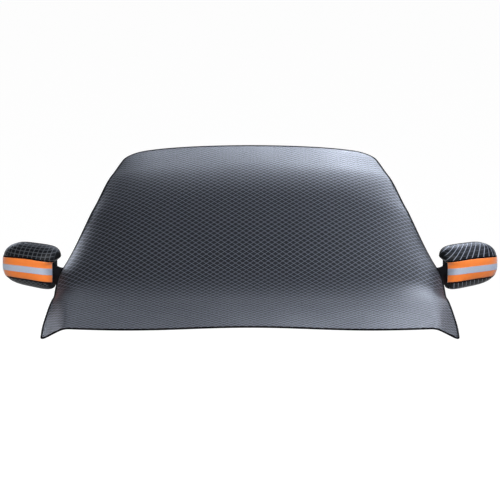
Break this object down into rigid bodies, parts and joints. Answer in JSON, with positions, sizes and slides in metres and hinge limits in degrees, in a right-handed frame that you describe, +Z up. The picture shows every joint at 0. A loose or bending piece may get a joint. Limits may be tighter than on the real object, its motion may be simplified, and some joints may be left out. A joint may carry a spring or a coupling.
{
  "type": "windshield frost cover",
  "caption": "Fabric car windshield frost cover with bound edge, hood flap and fitted side mirror covers with orange and silver warning tape, draped as in use",
  "frame": {"origin": "the middle of the panel's underside where it lies on the lower glass, 0.62 m up the panel from the hem", "axes": "+X across the car to the viewer's right when looking at its front, -Y towards the front of the car, +Z up"},
  "size_m": [2.0502, 1.3668, 0.4281],
  "materials": {
    "panel_fabric": "woven and coated, dark grey with a diamond check",
    "binding": "black woven tape",
    "mirror_cover_fabric": "woven and coated, dark grey with a diamond check",
    "elastic_cord": "braided sleeve",
    "orange_tape": "fluorescent woven tape",
    "silver_tape": "retroreflective",
    "stretch_fabric": "plain knit, matt"
  },
  "bodies": {
    "root": {"cover_panel": "panel_fabric", "edge_binding": "binding", "mirror_cover_left": "mirror_cover_fabric", "mirror_cover_right": "mirror_cover_fabric", "mouth_casing_left": "binding", "mouth_casing_right": "binding", "mouth_elastic_left": "elastic_cord", "mouth_elastic_right": "elastic_cord", "warning_tape_left": "orange_tape", "warning_tape_right": "orange_tape", "silver_stripe_left": "silver_tape", "silver_stripe_right": "silver_tape", "mirror_neck_left": "stretch_fabric", "mirror_neck_right": "stretch_fabric"}
  },
  "joints": []
}
